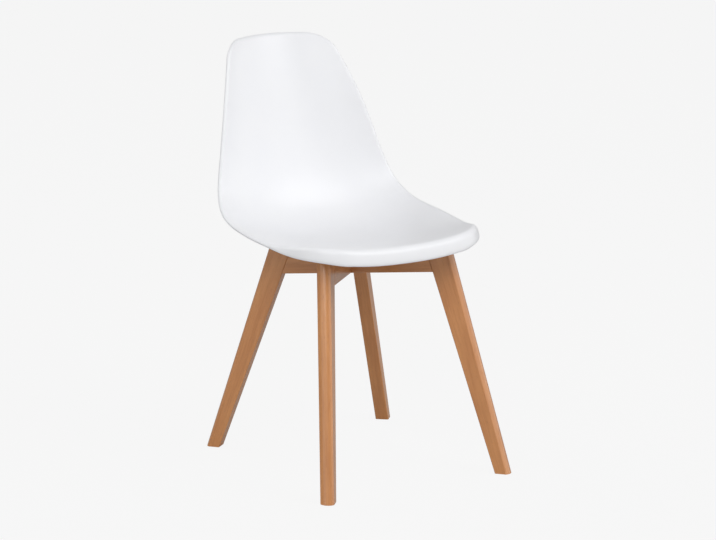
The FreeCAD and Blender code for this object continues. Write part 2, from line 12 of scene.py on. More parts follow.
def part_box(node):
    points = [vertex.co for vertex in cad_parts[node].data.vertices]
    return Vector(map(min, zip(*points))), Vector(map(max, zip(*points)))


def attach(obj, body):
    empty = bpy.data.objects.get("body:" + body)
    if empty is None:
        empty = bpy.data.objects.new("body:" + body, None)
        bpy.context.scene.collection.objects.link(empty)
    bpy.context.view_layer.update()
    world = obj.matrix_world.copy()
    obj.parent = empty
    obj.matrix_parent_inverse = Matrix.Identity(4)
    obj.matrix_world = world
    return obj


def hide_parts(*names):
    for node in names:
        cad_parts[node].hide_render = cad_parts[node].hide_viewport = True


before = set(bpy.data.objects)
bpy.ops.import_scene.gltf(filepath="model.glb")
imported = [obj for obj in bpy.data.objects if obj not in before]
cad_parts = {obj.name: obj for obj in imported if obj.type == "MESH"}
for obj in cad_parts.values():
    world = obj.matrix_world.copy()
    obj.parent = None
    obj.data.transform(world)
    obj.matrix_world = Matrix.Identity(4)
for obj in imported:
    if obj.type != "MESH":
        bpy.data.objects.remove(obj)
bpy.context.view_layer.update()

log = logging.getLogger("shell_chair")

MM = 0.001          # one millimetre in Blender's metres
BODY = "root"       # the chair has no joints, so every piece rides on one body
SAME_PLACE = 4      # decimals of a millimetre to which points that meet agree
SOLID_CREASE = 30.0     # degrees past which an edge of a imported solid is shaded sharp
SHELL_CREASE = 50.0     # the same for the shell
NODE_SPACING = 190.0    # distance between nodes in the editor
MIX_INPUTS = (0, 6, 7)  # a Mix node's share and its two colours
MIX_COLOUR = 2          # a Mix node's mixed colour
FLOAT, COLOR, VECTOR = "NodeSocketFloat", "NodeSocketColor", "NodeSocketVector"

Array = np.ndarray
Colour = tuple[float, float, float, float]


class Arm(Enum):
    """The four arms of the crossed frame: node name, side (left is -1) and end (front is -1)."""

    FRONT_LEFT = ("leg_front_left", -1, -1)
    FRONT_RIGHT = ("leg_front_right", 1, -1)
    REAR_LEFT = ("leg_rear_left", -1, 1)
    REAR_RIGHT = ("leg_rear_right", 1, 1)

    @property
    def node(self) -> str:
        """Name of the arm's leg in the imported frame."""
        return self.value[0]

    @property
    def side(self) -> int:
        """Which side of the chair the arm points to."""
        return self.value[1]

    @property
    def end(self) -> int:
        """Which end of the chair the arm points to."""
        return self.value[2]


# ---------------------------------------------------------------------------
# Shapes worked out as whole arrays


@dataclass
class SmoothCurve:
    """Natural cubic curve through (place, value) pairs, straight beyond both ends.

    Between two places the value is the cubic whose second derivative runs straight from
    one place's bend to the next, and the bends are those that keep the slope continuous.
    """

    pairs: list[tuple[float, float]]

    def __post_init__(self) -> None:
        """Solves the bends at the given places."""
        self.places = np.array([p[0] for p in self.pairs], float)
        self.values = np.array([p[1] for p in self.pairs], float)
        count = len(self.places)
        self.gaps = np.diff(self.places)
        self.slopes = np.diff(self.values) / self.gaps
        system = np.eye(count)
        wanted = np.zeros(count)
        inner = np.arange(1, count - 1)
        system[inner, inner - 1] = self.gaps[:-1]
        system[inner, inner] = 2 * (self.gaps[:-1] + self.gaps[1:])
        system[inner, inner + 1] = self.gaps[1:]
        wanted[inner] = 6 * np.diff(self.slopes)
        self.bends = np.linalg.solve(system, wanted)

    def __call__(self, at: Array) -> Array:
        """Values of the curve.

        Args:
            at: Places along the curve.

        Returns:
            One value for each place.
        """
        at = np.asarray(at, float)
        i = np.clip(np.searchsorted(self.places, at, side="right") - 1, 0, len(self.gaps) - 1)
        gap = self.gaps[i]
        before = self.places[i + 1] - at
        after = at - self.places[i]
        bend_0, bend_1 = self.bends[i], self.bends[i + 1]
        inside = (bend_0 * before ** 3 + bend_1 * after ** 3) / (6 * gap)
        inside += (self.values[i] / gap - bend_0 * gap / 6) * before
        inside += (self.values[i + 1] / gap - bend_1 * gap / 6) * after
        slope_low = self.slopes[0] - self.gaps[0] * self.bends[1] / 6
        slope_high = self.slopes[-1] + self.gaps[-1] * self.bends[-2] / 6
        low = self.values[0] + (at - self.places[0]) * slope_low
        high = self.values[-1] + (at - self.places[-1]) * slope_high
        return np.where(at <= self.places[0], low, np.where(at >= self.places[-1], high, inside))


def unit(vectors: Array) -> Array:
    """Vectors of an array scaled to length one."""
    return vectors / np.linalg.norm(vectors, axis=-1, keepdims=True)


def smooth_step(share: Array) -> Array:
    """Share from 0 to 1 that leaves and arrives level."""
    return share * share * (3 - 2 * share)


def eased_shares(count: int) -> Array:
    """Shares from 0 to 1 that lie closer together towards both ends."""
    even = np.linspace(0, 1, count)
    return even - np.sin(2 * np.pi * even) / (4 * np.pi)


def grid_faces(rows: int, columns: int, first: int, close: bool = False, flip: bool = False) -> Array:
    """Quads of a grid whose point (r, c) has the index first + r * columns + c.

    Args:
        rows: Number of grid rows.
        columns: Number of grid columns.
        first: Index of the grid's first point.
        close: Whether the last column joins the first.
        flip: Whether the faces point the other way.

    Returns:
        An array of four indices for each quad.
    """
    r, c = np.meshgrid(np.arange(rows - 1), np.arange(columns if close else columns - 1), indexing="ij")
    r, c = r.ravel(), c.ravel()
    following = (c + 1) % columns
    quads = np.stack([r * columns + c, r * columns + following,
                      (r + 1) * columns + following, (r + 1) * columns + c], axis=1)
    quads = quads[:, ::-1] if flip else quads
    return quads + first


def in_scene(name: str, data: ID) -> Object:
    """New object of a mesh, a lamp or a camera, linked to the scene."""
    made = bpy.data.objects.new(name, data)
    bpy.context.scene.collection.objects.link(made)
    return made


def make_piece(name: str, points: Array, faces: list[Array], crease: float) -> Object:
    """Makes an object at the origin from points in millimetres.

    Args:
        name: Name of the piece.
        points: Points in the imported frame, in millimetres.
        faces: Arrays of face corners, of any number of corners.
        crease: Angle in degrees past which an edge is shaded sharp.

    Returns:
        The new object, linked to the scene.
    """
    mesh = bpy.data.meshes.new(name)
    corners = [face.tolist() for group in faces for face in group]
    mesh.from_pydata((points * MM).tolist(), [], corners)
    mesh.validate()
    mesh.shade_smooth()
    mesh.set_sharp_from_angle(angle=math.radians(crease))
    return in_scene(name, mesh)


def merged_copy(node: str, name: str) -> Object:
    """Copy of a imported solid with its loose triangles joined, so that its curves shade smooth.

    Args:
        node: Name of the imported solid.
        name: Name of the copy.

    Returns:
        The copy, which stands for the solid.
    """
    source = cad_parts[node].data
    points = np.empty(len(source.vertices) * 3)
    source.vertices.foreach_get("co", points)
    points = points.reshape(-1, 3)
    corners = np.empty(len(source.polygons) * 3, np.int32)
    source.polygons.foreach_get("vertices", corners)
    places = np.round(points, SAME_PLACE + 3)
    _, first, index = np.unique(places, axis=0, return_index=True, return_inverse=True)
    triangles = index.ravel()[corners].reshape(-1, 3)
    distinct = (triangles[:, 0] != triangles[:, 1]) & (triangles[:, 1] != triangles[:, 2])
    distinct &= triangles[:, 0] != triangles[:, 2]
    copy = make_piece(name, points[first] / MM, [triangles[distinct]], SOLID_CREASE)
    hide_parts(node)
    return copy


# ---------------------------------------------------------------------------
# Materials


class Net:
    """A small hand for building one node tree."""

    def __init__(self, tree: NodeTree) -> None:
        """Takes the tree to build in."""
        self.tree = tree
        self.column = 0

    def node(self, kind: str, **settings: object) -> Node:
        """Adds a node.

        Args:
            kind: Blender's type name of the node.
            settings: Properties to set on it.

        Returns:
            The node.
        """
        made = self.tree.nodes.new(kind)
        self.column += 1
        made.location = (self.column * NODE_SPACING, 0.0)
        for key, value in settings.items():
            setattr(made, key, value)
        return made

    def link(self, source: Socket, target: Socket) -> None:
        """Joins an output to an input."""
        self.tree.links.new(source, target)

    def put(self, value: object, target: Socket) -> None:
        """Sets an input to a number, or joins it to a socket.

        Args:
            value: A number, a colour or a socket.
            target: The input.
        """
        if isinstance(value, Socket):
            self.link(value, target)
        else:
            target.default_value = value

    def fill(self, node: Node, values: dict[str, object]) -> Node:
        """Sets or joins inputs of a node.

        Args:
            node: The node.
            values: Numbers, colours or sockets by the inputs' names.

        Returns:
            The same node.
        """
        for label, value in values.items():
            self.put(value, node.inputs[label])
        return node

    def feed(self, node: Node, *values: object) -> Socket:
        """Sets or joins the first inputs of a node, in their order.

        Args:
            node: The node.
            values: Numbers, colours or sockets.

        Returns:
            The node's first output.
        """
        for value, socket in zip(values, node.inputs):
            self.put(value, socket)
        return node.outputs[0]

    def sums(self, operation: str, *values: object) -> Socket:
        """Result of a Math node on numbers or sockets."""
        return self.feed(self.node("ShaderNodeMath", operation=operation), *values)

    def ramp(self, value: Socket, low: float, high: float) -> Socket:
        """A value carried from low and high to 0 and 1, clamped, with soft ends."""
        return self.feed(self.node("ShaderNodeMapRange", interpolation_type="SMOOTHSTEP"), value, low, high)

    def noise(self, vector: Socket, scale: object, detail: float,
              more: dict[str, float] | None = None) -> Socket:
        """Adds a noise texture.

        Args:
            vector: Places to take the noise at.
            scale: Number or socket of its scale.
            detail: Number of its finer layers.
            more: Its other inputs, where they aren't Blender's own.

        Returns:
            Socket of its values, about 0.5 on average.
        """
        values = {"Vector": vector, "Scale": scale, "Detail": detail, **(more or {})}
        return self.fill(self.node("ShaderNodeTexNoise"), values).outputs["Fac"]

    def bump(self, height: Socket, strength: float, depth: float) -> Socket:
        """Normal of a height whose full range is a depth in metres."""
        values = {"Height": height, "Strength": strength, "Distance": depth}
        return self.fill(self.node("ShaderNodeBump"), values).outputs["Normal"]

    def grey(self, kind: str, tone: float) -> Socket:
        """A shader of one grey tone."""
        return self.fill(self.node(kind), {"Color": (tone, tone, tone, 1)}).outputs[0]

    def choose(self, share: Socket, first: Socket, second: Socket) -> Socket:
        """Two shaders mixed by the second one's share."""
        return self.feed(self.node("ShaderNodeMixShader"), share, first, second)

    def blend(self, share: object, first: object, second: object) -> Socket:
        """Mixes two colours.

        Args:
            share: Share of the second colour.
            first: The first colour.
            second: The second colour.

        Returns:
            The mixed colour's socket.
        """
        made = self.node("ShaderNodeMix", data_type="RGBA")
        for value, place in zip((share, first, second), MIX_INPUTS):
            self.put(value, made.inputs[place])
        return made.outputs[MIX_COLOUR]


@dataclass(frozen=True)
class GrainNoise:
    """A noise whose marks are drawn out along Z, the grain of the wood."""

    along: float
    scale: float
    detail: float
    roughness: float = 0.5
    distortion: float = 0.0
    low: float = 0.0
    high: float = 1.0

    def values(self, net: Net, vector: Socket) -> Socket:
        """Adds the noise to a node tree.

        Args:
            net: Hand for the tree.
            vector: Places to take the noise at.

        Returns:
            Socket of its values.
        """
        drawn = net.feed(net.node("ShaderNodeVectorMath", operation="MULTIPLY"), vector, (1, 1, self.along))
        return net.noise(drawn, self.scale, self.detail,
                         {"Roughness": self.roughness, "Distortion": self.distortion})

    def mask(self, net: Net, vector: Socket) -> Socket:
        """The noise's values from low to high, spread from 0 to 1."""
        return net.ramp(self.values(net, vector), self.low, self.high)


TONE = GrainNoise(along=0.16, scale=38.0, detail=2.0, distortion=0.6, low=0.3, high=0.7)
BANDS = GrainNoise(along=0.055, scale=230.0, detail=3.0, roughness=0.6, distortion=0.3, low=0.35, high=0.68)
FIBRES = GrainNoise(along=0.02, scale=1500.0, detail=2.0, roughness=0.6)
FLECKS = GrainNoise(along=0.11, scale=900.0, detail=1.0, low=0.63, high=0.73)
FIBRE_CONTRAST = 0.5    # how far the fibres shift the share of dark wood
DARK_DULLING = 0.1      # how much rougher dark wood is
FIBRE_HEIGHT = 0.6      # share of the relief that the fibres raise
FLECK_DEPTH = 0.5       # share of it that the flecks sink


def new_group(name: str, inputs: dict[str, str], outputs: dict[str, str]) -> NodeTree:
    """Makes an empty shader node group.

    Args:
        name: Name of the group.
        inputs: Socket type of each input, by name.
        outputs: Socket type of each output, by name.

    Returns:
        The group, with its input and output nodes.
    """
    group = bpy.data.node_groups.new(name, "ShaderNodeTree")
    for way, sockets in (("INPUT", inputs), ("OUTPUT", outputs)):
        for label, kind in sockets.items():
            group.interface.new_socket(label, in_out=way, socket_type=kind)
    group.nodes.new("NodeGroupInput")
    group.nodes.new("NodeGroupOutput")
    return group


def beech_figure_group() -> NodeTree:
    """Node group of lacquered beech whose grain runs along Z.

    The tone is a slow noise drawn out along the grain. Over it lie the growth bands, a finer
    noise drawn out eighteen times, the fibres, and the flecks, short dashes above a threshold.

    Returns:
        A group with a colour, a roughness and a height.
    """
    group = new_group(
        "beech_figure",
        {"Vector": VECTOR, "Light Wood": COLOR, "Dark Wood": COLOR, "Fleck": COLOR, "Band Share": FLOAT,
         "Fleck Share": FLOAT, "Gloss": FLOAT},
        {"Color": COLOR, "Roughness": FLOAT, "Height": FLOAT})
    net = Net(group)
    given = group.nodes["Group Input"].outputs
    result = group.nodes["Group Output"].inputs
    tone, band, fleck = (noise.mask(net, given["Vector"]) for noise in (TONE, BANDS, FLECKS))
    fibre = FIBRES.values(net, given["Vector"])
    bands = net.sums("MULTIPLY", band, given["Band Share"])
    tones = net.sums("MULTIPLY", tone, net.sums("SUBTRACT", 1.0, given["Band Share"]))
    fibres = net.sums("MULTIPLY", net.sums("SUBTRACT", fibre, 0.5), FIBRE_CONTRAST)
    share = net.sums("ADD", net.sums("ADD", bands, tones), fibres)
    dark = net.sums("MINIMUM", net.sums("MAXIMUM", share, 0.0), 1.0)
    wood = net.blend(dark, given["Light Wood"], given["Dark Wood"])
    wood = net.blend(net.sums("MULTIPLY", fleck, given["Fleck Share"]), wood, given["Fleck"])
    net.link(wood, result["Color"])
    net.link(net.sums("ADD", given["Gloss"], net.sums("MULTIPLY", share, DARK_DULLING)), result["Roughness"])
    raised, sunk = net.sums("MULTIPLY", fibre, FIBRE_HEIGHT), net.sums("MULTIPLY", fleck, FLECK_DEPTH)
    net.link(net.sums("SUBTRACT", raised, sunk), result["Height"])
    return group


def fine_mottle_group() -> NodeTree:
    """Node group of a fine even skin, as on moulded plastic and on plated metal.

    Returns:
        A group with a slow mask, a fine height and a roughness spread about the given one.
    """
    group = new_group(
        "fine_mottle",
        {"Vector": VECTOR, "Coarse Scale": FLOAT, "Fine Scale": FLOAT, "Gloss": FLOAT, "Spread": FLOAT},
        {"Mask": FLOAT, "Height": FLOAT, "Roughness": FLOAT})
    net = Net(group)
    given = group.nodes["Group Input"].outputs
    result = group.nodes["Group Output"].inputs
    slow = net.noise(given["Vector"], given["Coarse Scale"], detail=3.0)
    fine = net.noise(given["Vector"], given["Fine Scale"], detail=2.0)
    net.link(net.ramp(slow, low=0.3, high=0.7), result["Mask"])
    net.link(fine, result["Height"])
    roughness = given["Gloss"]
    for values in (slow, fine):
        spread = net.sums("MULTIPLY", net.sums("SUBTRACT", values, 0.5), given["Spread"])
        roughness = net.sums("ADD", roughness, spread)
    net.link(roughness, result["Roughness"])
    return group


def emptied(owner: ID) -> Net:
    """Hand for the node tree of a material or world, emptied first."""
    owner.use_nodes = True
    owner.node_tree.nodes.clear()
    return Net(owner.node_tree)


def new_material(name: str) -> tuple[Material, Net, Node]:
    """An empty material with its shader joined to the output.

    Args:
        name: Name of the material.

    Returns:
        The material, a hand for its nodes and its shader node.
    """
    material = bpy.data.materials.new(name)
    net = emptied(material)
    shader = net.node("ShaderNodeBsdfPrincipled")
    output = net.node("ShaderNodeOutputMaterial")
    net.link(shader.outputs["BSDF"], output.inputs["Surface"])
    return material, net, shader


@dataclass(frozen=True)
class BeechFinish:
    """Stained and lacquered beech, whose grain runs along a piece."""

    light: Colour = (0.685, 0.3, 0.1, 1)
    dark: Colour = (0.545, 0.213, 0.062, 1)
    fleck: Colour = (0.36, 0.14, 0.055, 1)
    band_share: float = 0.45
    fleck_share: float = 0.35
    gloss: float = 0.42
    relief: float = 0.00012
    relief_share: float = 0.35
    lacquer: float = 1.0
    lacquer_gloss: float = 0.2

    def make(self, name: str, group: NodeTree, along: Matrix, centre: Vector) -> Material:
        """Makes the material of one piece.

        Args:
            name: Name of the material.
            group: The beech figure.
            along: Rotation that carries Z to the piece's grain.
            centre: Point in metres about which the figure is turned, apart for each piece.

        Returns:
            The material.
        """
        material, net, shader = new_material(name)
        mapping = net.fill(net.node("ShaderNodeMapping", vector_type="TEXTURE"), {
            "Vector": net.node("ShaderNodeTexCoord").outputs["Object"], "Location": centre,
            "Rotation": along.to_euler("XYZ")})
        figure = net.fill(net.node("ShaderNodeGroup", node_tree=group), {
            "Vector": mapping.outputs["Vector"], "Light Wood": self.light, "Dark Wood": self.dark,
            "Fleck": self.fleck, "Band Share": self.band_share, "Fleck Share": self.fleck_share,
            "Gloss": self.gloss}).outputs
        net.fill(shader, {
            "Base Color": figure["Color"], "Roughness": figure["Roughness"],
            "Normal": net.bump(figure["Height"], self.relief_share, self.relief),
            "Coat Weight": self.lacquer, "Coat Roughness": self.lacquer_gloss})
        return material


@dataclass(frozen=True)
class MottledFinish:
    """Moulded plastic or plated metal: one tone with a slow drift, and a fine skin."""

    tone: Colour
    drift: Colour
    gloss: float
    spread: float = 0.05
    metal: float = 0.0
    coarse_scale: float = 12.0
    fine_scale: float = 1400.0
    relief: float = 0.00002
    relief_share: float = 0.3

    def make(self, name: str, group: NodeTree) -> Material:
        """Makes the material.

        Args:
            name: Name of the material.
            group: The fine mottle.

        Returns:
            The material.
        """
        material, net, shader = new_material(name)
        skin = net.fill(net.node("ShaderNodeGroup", node_tree=group), {
            "Vector": net.node("ShaderNodeTexCoord").outputs["Object"], "Coarse Scale": self.coarse_scale,
            "Fine Scale": self.fine_scale, "Gloss": self.gloss, "Spread": self.spread}).outputs
        net.fill(shader, {
            "Base Color": net.blend(skin["Mask"], self.tone, self.drift), "Roughness": skin["Roughness"],
            "Normal": net.bump(skin["Height"], self.relief_share, self.relief), "Metallic": self.metal})
        return material


SHELL_FINISH = MottledFinish(tone=(0.87, 0.875, 0.895, 1), drift=(0.86, 0.866, 0.89, 1), gloss=0.38)
ZINC_FINISH = MottledFinish(tone=(0.62, 0.63, 0.65, 1), drift=(0.5, 0.51, 0.55, 1), gloss=0.32, metal=1.0,
                            coarse_scale=90.0, fine_scale=2500.0)
BRASS_FINISH = MottledFinish(tone=(0.78, 0.6, 0.3, 1), drift=(0.66, 0.47, 0.2, 1), gloss=0.3, metal=1.0,
                             coarse_scale=90.0, fine_scale=2500.0)
GLIDE_FINISH = MottledFinish(tone=(0.55, 0.5, 0.45, 1), drift=(0.48, 0.43, 0.38, 1), gloss=0.5,
                             coarse_scale=60.0, fine_scale=2000.0)
BEECH_FINISH = BeechFinish()
RAW_BEECH_FINISH = BeechFinish(light=(0.72, 0.53, 0.36, 1), dark=(0.6, 0.42, 0.26, 1), gloss=0.62,
                               lacquer=0.0)


# ---------------------------------------------------------------------------
# The chair's sub-assemblies


@dataclass
class CrossedFrame:
    """The timber frame: two rails and four legs in two upright planes, tipped up at the front.

    Lengths are in millimetres and angles in degrees.
    """

    rail_bottom: float = 378.4
    rake: float = 6.4
    rail_angle: float = 48.8
    rail_height: float = 52.0
    front_splay: float = 14.7
    rear_splay: float = 24.1
    leg_taper: float = 2.45
    screw_head_radius: float = 5.0
    bolt_reach: tuple[float, float] = (118.0, 75.0)
    finish: BeechFinish = BEECH_FINISH
    rails: tuple[tuple[str, Arm], ...] = (("cross_rail_a", Arm.FRONT_RIGHT), ("cross_rail_b", Arm.FRONT_LEFT))
    crossing: Vector = field(init=False)

    def __post_init__(self) -> None:
        """Finds the crossing from the screw that holds it."""
        low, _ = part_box("lap_screw")
        back = low.y / MM + self.screw_head_radius * math.cos(math.radians(self.rake))
        self.crossing = Vector((0.0, back, self.rail_bottom))

    def bearing(self, arm: Arm) -> float:
        """Direction of an arm in plan, in radians from +X."""
        angle = math.radians(self.rail_angle)
        return math.atan2(arm.end * math.sin(angle), arm.side * math.cos(angle))

    def turned(self, arm: Arm) -> Matrix:
        """Rotation from an arm's own frame, X outward along the rail, to the chair's."""
        tipped = Matrix.Rotation(math.radians(-self.rake), 3, "X")
        return tipped @ Matrix.Rotation(self.bearing(arm), 3, "Z")

    def to_chair(self, points: Array, arm: Arm) -> Array:
        """Points of an arm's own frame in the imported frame, in millimetres."""
        return points @ np.array(self.turned(arm)).T + np.array(self.crossing)

    def leg_grain(self, arm: Arm) -> Matrix:
        """Rotation that carries Z to the line of an arm's leg."""
        splay = self.front_splay if arm.end < 0 else self.rear_splay
        lean = math.radians(splay - self.leg_taper / 2)
        return self.turned(arm) @ Matrix.Rotation(-lean, 3, "Y")

    def rail_grain(self, arm: Arm) -> Matrix:
        """Rotation that carries Z to the line of an arm's rail."""
        return self.turned(arm) @ Matrix.Rotation(math.radians(90), 3, "Y")

    def dress(self, node: str, group: NodeTree, grain: Matrix, centre: tuple[float, float, float]) -> Object:
        """Copies and dresses one rail or leg.

        Args:
            node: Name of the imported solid.
            group: The beech figure.
            grain: Rotation that carries Z to the piece's grain.
            centre: Where in the figure the piece is cut from, in metres.

        Returns:
            The piece.
        """
        name = node + "_beech"
        piece = merged_copy(node, name)
        piece.data.materials.append(self.finish.make(name, group, grain, Vector(centre)))
        return piece

    def build(self, group: NodeTree) -> list[Object]:
        """Copies and dresses the legs and rails, each cut from its own part of the figure.

        Args:
            group: The beech figure.

        Returns:
            The six pieces.
        """
        legs = [self.dress(arm.node, group, self.leg_grain(arm), (0.31 * n + 0.07, 0.013 * n, 0.4 * n))
                for n, arm in enumerate(Arm)]
        rails = [self.dress(node, group, self.rail_grain(arm), (0.17, 0.29 + 0.2 * n, 0.11 * n))
                 for n, (node, arm) in enumerate(self.rails)]
        return legs + rails


@dataclass(frozen=True)
class MeshLines:
    """Mesh lines that run from the shell's outline inward, one entry of each array per line.

    Places are given as a distance from the middle plane and one from the nearer end.
    """

    outer_across: Array
    outer_end: Array
    inner_across: Array
    inner_end: Array
    at_top: Array

    def between(self, inward: float | Array, shares: Array) -> tuple[Array, Array, Array]:
        """Places along every line.

        Args:
            inward: Distances from the outline at which the shares begin.
            shares: Shares of what is left of the line, from the outline inward.

        Returns:
            Distances from the middle plane, distances from the nearer end and whether that is the top.
        """
        width = np.hypot(self.inner_across - self.outer_across, self.inner_end - self.outer_end)[:, None]
        part = (inward + (width - inward) * shares) / width
        across = self.outer_across[:, None] + (self.inner_across - self.outer_across)[:, None] * part
        end = self.outer_end[:, None] + (self.inner_end - self.outer_end)[:, None] * part
        return across, end, np.broadcast_to(self.at_top[:, None], part.shape)


@dataclass
class MouldedShell:
    """The one-piece seat and back, its rolled rim and its bosses under the seat.

    Lengths are in millimetres and angles in degrees, and the curves run from the front edge.
    """

    timber: CrossedFrame
    wall: float = 4.5
    rim_round: float = 1.5
    reach: float = 239.0
    above_rails: float = 48.0
    front_lip: float = 32.5
    side_lip: float = 8.8
    lip_run: float = 170.0
    front_roll: float = 16.0
    side_roll: float = 11.0
    front_roll_angle: float = 80.0
    side_roll_angle: float = 62.0
    front_corner: float = 74.0
    top_corner: float = 35.0
    front_bow: float = 14.0
    top_bow: float = 18.0
    front_margin: float = 38.0
    top_margin: float = 20.0
    mesh_ease: float = 2.6
    seat_flatness: float = 2.6
    back_flatness: float = 2.2
    bend_starts: float = 300.0
    bend_ends: float = 450.0
    length: float = 798.0
    middle_steps: int = 4000
    middle_spare: int = 40
    slope_step: float = 0.02
    lines_along: int = 170
    lines_across: int = 44
    lines_in_edge: int = 22
    lines_round_rim: int = 8
    field_spread: float = 1.5
    edge_spread: float = 1.2
    boss_radius: float = 12.0
    boss_draft: float = 0.5
    boss_round: float = 1.2
    boss_round_middle: float = 0.35
    boss_sides: int = 48
    boss_rows: int = 7
    boss_skin: float = 2.0
    gusset: float = 2.6
    gusset_bevel: float = 0.6
    gusset_reach: float = 13.0
    gusset_root: float = 1.0
    gusset_clearance: float = 3.0
    gusset_rows: int = 8
    gusset_overrun: float = 1.6
    gusset_angles: tuple[int, ...] = (45, 135, 225, 315)
    ceiling_inward: float = 88.0
    ceiling_rounds: int = 6
    lean: SmoothCurve = field(default_factory=lambda: SmoothCurve([
        (0, -1.5), (90, -11.5), (200, -8.0), (300, -1.0), (360, 15.0),
        (420, 42.5), (480, 64.0), (560, 73.0), (660, 71.5), (770, 68.0)]))
    half_width: SmoothCurve = field(default_factory=lambda: SmoothCurve([
        (0, 192.5), (120, 218.0), (240, 227.5), (330, 222.0), (400, 215.5),
        (460, 206.0), (540, 187.5), (640, 162.0), (770, 120.0)]))
    side_rise: SmoothCurve = field(default_factory=lambda: SmoothCurve([
        (0, 22.5), (120, 22.5), (240, 44.5), (330, 57.0), (400, 59.0),
        (460, 54.5), (540, 54.5), (640, 55.5), (770, 41.0)]))

    def __post_init__(self) -> None:
        """Follows the lean from the front edge to the top to get the middle line."""
        step = self.length / self.middle_steps
        rake = math.radians(self.timber.rake)
        start_y = self.timber.crossing.y - self.reach
        rail_top = self.timber.rail_bottom + self.timber.rail_height * math.cos(rake)
        start_z = rail_top + self.above_rails
        middles = (np.arange(-self.middle_spare, self.middle_steps + self.middle_spare) + 0.5) * step
        lean = np.radians(self.lean(middles))
        self.runs = np.concatenate([[middles[0] - step / 2], middles + step / 2])
        y = np.concatenate([[0.0], np.cumsum(np.cos(lean) * step)])
        z = np.concatenate([[0.0], np.cumsum(np.sin(lean) * step)])
        self.middle_y = y - np.interp(0.0, self.runs, y) + start_y
        self.middle_z = z - np.interp(0.0, self.runs, z) + start_z

    def edge_drop(self, inward: Array, lip: Array) -> Array:
        """Drop of the surface near the outline: a roll of an arc's height, then a straight flank.

        Args:
            inward: Distance from the outline.
            lip: Full drop at the outline.

        Returns:
            The drop below the plain surface.
        """
        share = np.clip((lip - self.side_lip) / (self.front_lip - self.side_lip), 0, 1)
        radius = self.side_roll + (self.front_roll - self.side_roll) * share
        angle = np.radians(self.side_roll_angle + (self.front_roll_angle - self.side_roll_angle) * share)
        flank = np.maximum(lip - radius * (1 - np.cos(angle)), 0) / np.tan(angle)
        reach = radius * np.sin(angle)
        into_roll = np.clip(flank + reach - inward, 0, reach)
        roll = radius - np.sqrt(radius ** 2 - into_roll ** 2)
        return roll + np.maximum(flank - inward, 0) * np.tan(angle)

    def surface(self, x: Array, run: Array, inward: Array, lip: Array) -> Array:
        """Points of the seat's upper surface.

        Square to the middle line, the surface rises towards the side with a power of the
        share of the half width, less the drop of the edge.

        Args:
            x: Distance from the middle plane.
            run: Distance along the middle line.
            inward: Distance from the outline.
            lip: Full drop at the outline.

        Returns:
            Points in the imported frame, in millimetres.
        """
        y = np.interp(run, self.runs, self.middle_y)
        z = np.interp(run, self.runs, self.middle_z)
        lean = np.radians(self.lean(run))
        share = np.clip((run - self.bend_starts) / (self.bend_ends - self.bend_starts), 0, 1)
        power = self.seat_flatness + (self.back_flatness - self.seat_flatness) * share
        height = self.side_rise(run) * (np.abs(x) / self.half_width(run)) ** power
        height -= self.edge_drop(inward, lip)
        return np.stack([x, y - np.sin(lean) * height, z + np.cos(lean) * height], axis=-1)

    def width_near(self, end: Array, at_top: Array) -> Array:
        """Half width of the outline at a distance from the nearer end."""
        return self.half_width(np.where(at_top, self.length - end, end))

    def point(self, across: Array, end: Array, at_top: Array, depth: float | Array) -> Array:
        """Points of the shell at a depth square to its upper surface.

        The end's distance grows with the square of the share of the half width, which
        bows the front and the top edge, and the distance from the outline is that of a
        rectangle with round corners.

        Args:
            across: Distances from the middle plane before the bow.
            end: Distances from the nearer end before the bow.
            at_top: Whether the nearer end is the top.
            depth: Depth under the upper surface.

        Returns:
            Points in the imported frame, in millimetres.
        """
        corner = np.where(at_top, self.top_corner, self.front_corner)
        bow = np.where(at_top, self.top_bow, self.front_bow)
        nominal = self.width_near(end, at_top)
        share = across / nominal
        from_end = end + bow * share ** 2
        run = np.where(at_top, self.length - from_end, from_end)
        x = self.half_width(run) * share

        def place(dx: float, drun: float) -> Array:
            """Surface points after a small step."""
            to_side = nominal - across - dx
            to_end = end + np.where(at_top, -drun, drun)
            inward = corner - np.hypot(np.maximum(corner - to_side, 0), np.maximum(corner - to_end, 0))
            fade = smooth_step(np.clip(to_end / self.lip_run, 0, 1))
            lip = np.where(at_top, self.side_lip, self.front_lip + (self.side_lip - self.front_lip) * fade)
            return self.surface(x + dx, run + drun, inward, lip)

        nudge = self.slope_step
        sideways = place(nudge, 0) - place(-nudge, 0)
        lengthwise = place(0, nudge) - place(0, -nudge)
        normal = unit(np.cross(sideways, lengthwise))
        return place(0, 0) - normal * np.broadcast_to(depth, across.shape)[..., None]

    def outline_station(self, inner: Array, corner: Array, margin: Array) -> tuple[Array, Array]:
        """Outline place that a mesh line leads to.

        Near a corner the lines spread over half of its arc, and the spreading eases off
        with the third power of the distance along the edge.

        Args:
            inner: Distance of the line's inner end from the inner field's corner.
            corner: Radius of the outline's corner.
            margin: Width of the edge zone.

        Returns:
            Distance along the edge and distance off it.
        """
        arc = corner * np.pi / 4
        lag = margin - corner + arc
        travel = inner + lag * (1 - np.maximum(1 - inner / (margin * self.mesh_ease), 0) ** 3)
        turn = np.maximum(np.pi / 4 - travel / corner, 0)
        along = np.where(travel < arc, corner * (1 - np.sin(turn)), corner + travel - arc)
        return along, corner * (1 - np.cos(turn))

